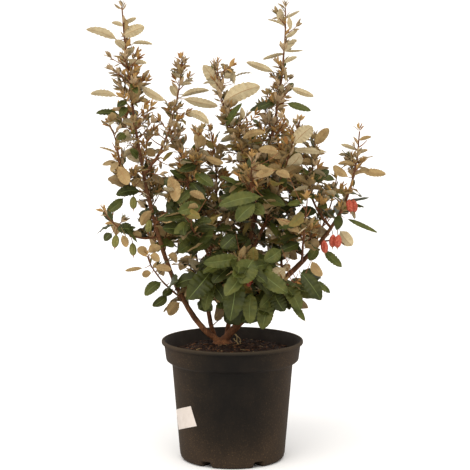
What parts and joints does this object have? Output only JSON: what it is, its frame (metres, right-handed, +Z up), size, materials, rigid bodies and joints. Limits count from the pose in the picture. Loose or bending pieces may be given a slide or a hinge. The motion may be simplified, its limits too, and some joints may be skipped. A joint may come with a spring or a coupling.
{
  "type": "potted ebbinges silverberry",
  "caption": "Broad-leaved evergreen shrub with large drooping green leaves, bronze young shoots and a few hanging fruits, in a round black nursery pot.",
  "frame": {"origin": "centre of the pot's flat underside", "axes": "+X to the right, +Y away from the front, +Z up"},
  "size_m": [0.5419, 0.3805, 0.8433],
  "materials": {
    "pot": "satin",
    "soil": "matte",
    "bark": "matte",
    "young_foliage": "matte",
    "green_foliage": "satin"
  },
  "bodies": {
    "root": {"pot": "pot", "soil": "soil", "trunk": "bark", "bough_left": "bark", "bough_right": "bark", "bough_middle": "bark", "bough_back": "bark", "bough_rear": "bark", "foliage_left": "young_foliage", "foliage_left_inner": "young_foliage", "foliage_left_cross": "young_foliage", "foliage_left_outer": "young_foliage", "foliage_left_spur": "young_foliage", "foliage_left_low": "young_foliage", "foliage_left_rear": "young_foliage", "foliage_right": "young_foliage", "foliage_right_mid": "young_foliage", "foliage_right_fork": "young_foliage", "foliage_right_hang": "green_foliage", "foliage_right_rear": "young_foliage", "foliage_right_front": "young_foliage", "foliage_right_low": "green_foliage", "foliage_middle": "young_foliage", "foliage_middle_right": "young_foliage", "foliage_middle_left": "young_foliage", "foliage_middle_front": "young_foliage", "foliage_front_left": "young_foliage", "foliage_front_low": "green_foliage", "foliage_low_left": "green_foliage", "foliage_back": "young_foliage", "foliage_back_left": "young_foliage", "foliage_back_low": "green_foliage", "foliage_rear": "young_foliage", "foliage_rear_right": "young_foliage", "foliage_rear_low": "green_foliage"}
  },
  "joints": []
}
